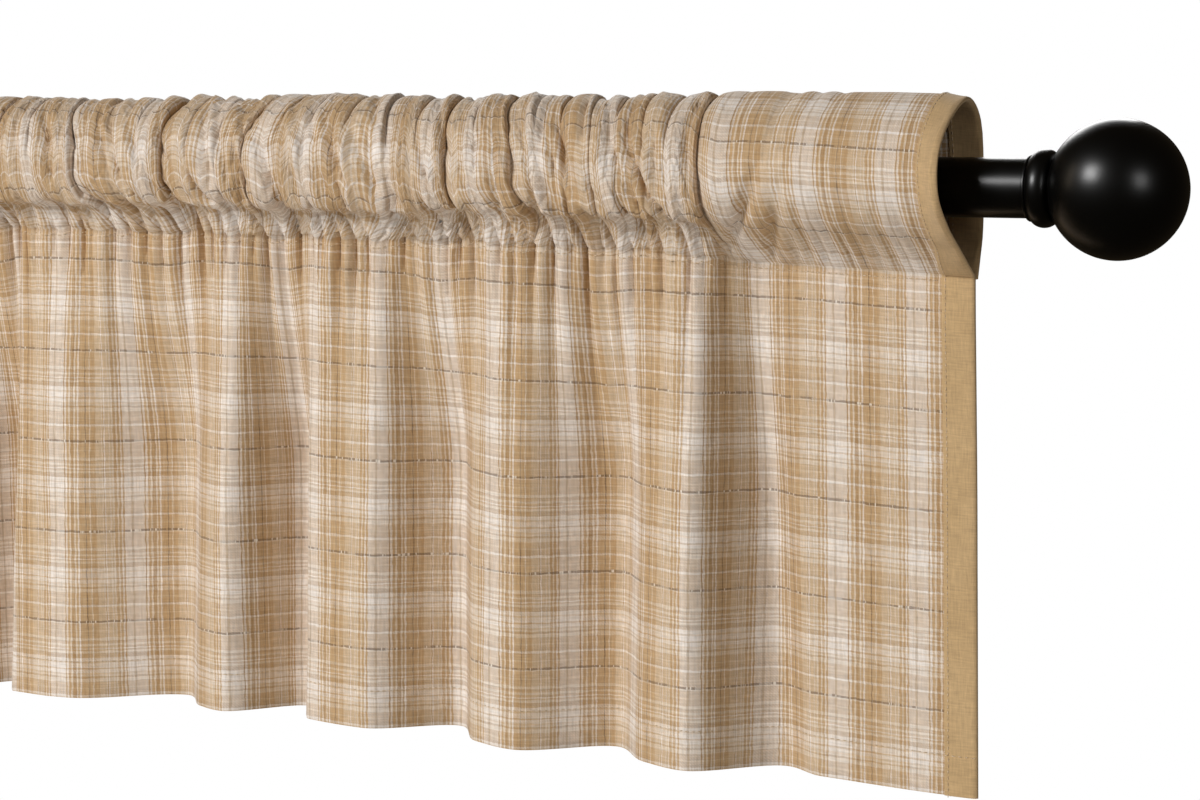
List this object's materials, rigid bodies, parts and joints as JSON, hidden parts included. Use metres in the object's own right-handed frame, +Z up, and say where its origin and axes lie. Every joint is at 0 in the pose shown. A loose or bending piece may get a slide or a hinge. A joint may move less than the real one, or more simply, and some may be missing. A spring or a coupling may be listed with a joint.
{
  "type": "rod-pocket valance on a curtain rod",
  "caption": "Short plaid cotton valance gathered by its rod pocket on a round black curtain rod with collared ball finials; tan side bindings.",
  "frame": {"origin": "right-hand bracket seat, on the rod's axis", "axes": "+X along the rod to the right, -Y to the room, +Z up"},
  "size_m": [0.954, 0.0681, 0.3056],
  "materials": {
    "plaid_cloth": "yarn-dyed cotton homespun, tan, cream and white plaid with slub yarns, matte",
    "tan_binding": "plain tan cotton, matte, top-stitched",
    "black_metal": "satin black lacquer"
  },
  "bodies": {
    "root": {"valance_panel": "plaid_cloth", "side_binding_right": "tan_binding", "side_binding_left": "tan_binding", "rod_tube": "black_metal", "finial_collar_right": "black_metal", "finial_collar_left": "black_metal", "finial_ball_right": "black_metal", "finial_ball_left": "black_metal"}
  },
  "joints": []
}
